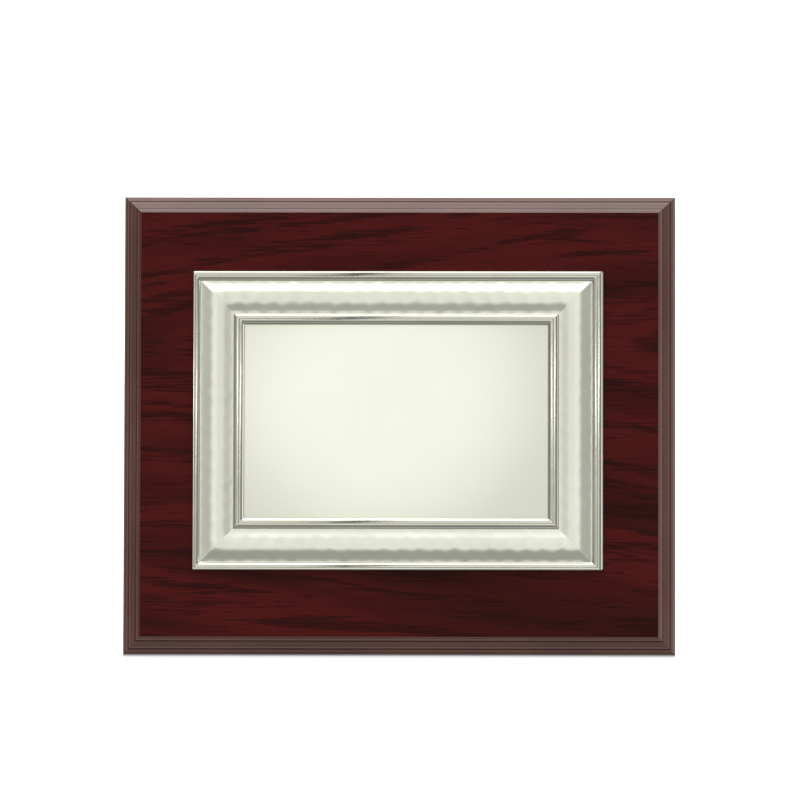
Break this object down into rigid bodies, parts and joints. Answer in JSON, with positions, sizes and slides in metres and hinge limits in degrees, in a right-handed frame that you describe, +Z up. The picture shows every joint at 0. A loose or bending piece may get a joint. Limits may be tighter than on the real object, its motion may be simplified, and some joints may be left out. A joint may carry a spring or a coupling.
{
  "type": "wooden plaque",
  "caption": "Landscape award plaque: dark red-brown veneered board with a routed edge, a hammered silver frame plate round a satin engraving panel, a folding rear strut and a keyhole hanger.",
  "frame": {"origin": "centre of the bounding box on the floor, with the plaque standing on its lower rear edge and its open strut", "axes": "+Z up; +X to the right seen from the front; the face looks towards -Y and leans back, so its outward normal points 10 degrees above -Y; the strut stands behind it towards +Y"},
  "size_m": [0.24, 0.082, 0.1981],
  "materials": {
    "painted_edge": "fibreboard, brown spray lacquer, semi-gloss",
    "face_veneer": "open-grained veneer, red-brown stain, clear gloss lacquer",
    "back_sheet": "matt brown balancing foil",
    "pressed_silver": "silver-plated sheet, beads polished, ridge hammered and satin",
    "satin_silver": "fine satin",
    "card": "plain grey board",
    "filler": "moulded foam",
    "foam_tape": "double-sided foam tape",
    "zinc_steel": "zinc plated",
    "brass": "brass plated, satin",
    "strut_wood": "brown stained and lacquered"
  },
  "bodies": {
    "board": {"board_core": "painted_edge", "face_veneer": "face_veneer", "back_sheet": "back_sheet", "plate_frame": "pressed_silver", "engraving_plate": "satin_silver", "backing_card": "card", "ridge_filler": "filler", "mounting_tape": "foam_tape", "keyhole_hanger": "zinc_steel", "hanger_screws": "zinc_steel", "hinge_leaf_board": "brass", "hinge_pin": "brass", "board_hinge_screws": "brass"},
    "strut": {"hinge_leaf_strut": "brass", "strut_leg": "strut_wood", "strut_hinge_screws": "brass"}
  },
  "joints": [
    {"name": "strut_fold", "type": "hinge", "parent": "board", "child": "strut", "pos_m": [0, -0.004, 0.11556], "axis": [-1, 0, 0], "range_deg": [0, 29]}
  ]
}
